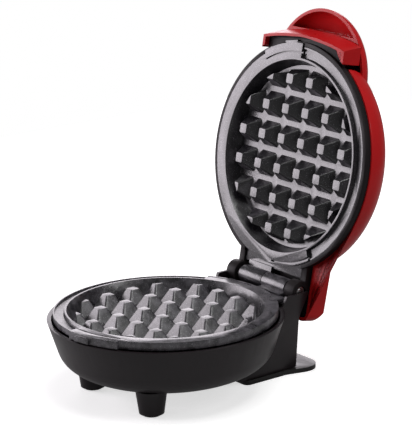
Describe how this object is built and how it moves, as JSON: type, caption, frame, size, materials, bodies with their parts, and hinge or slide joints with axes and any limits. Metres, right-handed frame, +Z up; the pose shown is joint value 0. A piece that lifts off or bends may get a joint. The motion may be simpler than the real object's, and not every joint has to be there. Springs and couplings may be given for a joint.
{
  "type": "mini waffle maker",
  "caption": "Small round waffle maker with a hinged domed lid, two gridded non-stick plates, a bowl-shaped base on front feet and a rear foot plate.",
  "frame": {"origin": "on the ground under the middle of the open waffle maker's bounding box", "axes": "+Z up, -Y to the handle side, +X to the right seen from the handle, hinge axis along X"},
  "size_m": [0.1258, 0.1828, 0.1913],
  "materials": {
    "red_cover": "satin moulded",
    "black_housing": "fine moulded",
    "nonstick_plate": "dark non-stick coating with fine sparkle",
    "heater_steel": "drawn",
    "shield_steel": "pressed sheet",
    "screw_steel": "zinc plated",
    "lens_plastic": "clear tinted",
    "lamp_glass": "clear",
    "black_shell": "satin moulded",
    "black_foot_plate": "moulded",
    "thermostat_body": "moulded",
    "fuse_case": "plain",
    "clip_steel": "spring steel",
    "terminal_plastic": "moulded",
    "terminal_brass": "plain",
    "gland_rubber": "matte",
    "clamp_plastic": "moulded",
    "pin_steel": "ground",
    "pad_rubber": "matte"
  },
  "bodies": {
    "base": {"base_shell": "black_shell", "foot_plate": "black_foot_plate", "lower_plate": "nonstick_plate", "lower_heater": "heater_steel", "lower_heat_shield": "shield_steel", "lower_plate_screws": "screw_steel", "thermostat": "thermostat_body", "thermal_fuse": "fuse_case", "fuse_clip": "clip_steel", "terminal_block": "terminal_plastic", "terminal_screws": "terminal_brass", "cord_gland": "gland_rubber", "cord_clamp": "clamp_plastic", "cord_clamp_screws": "screw_steel", "foot_plate_screws": "screw_steel", "hinge_pin": "pin_steel", "pin_clips": "clip_steel", "left_foot_pad": "pad_rubber", "right_foot_pad": "pad_rubber"},
    "lid": {"lid_cover": "red_cover", "lid_housing": "black_housing", "upper_plate": "nonstick_plate", "upper_heater": "heater_steel", "upper_heat_shield": "shield_steel", "upper_plate_screws": "screw_steel", "cover_screws": "screw_steel", "indicator_lens": "lens_plastic", "indicator_lamp": "lamp_glass"}
  },
  "joints": [
    {"name": "lid_hinge", "type": "hinge", "parent": "base", "child": "lid", "pos_m": [0, 0.04069, 0.0463], "axis": [1, 0, 0], "range_deg": [0, 101.2]}
  ]
}
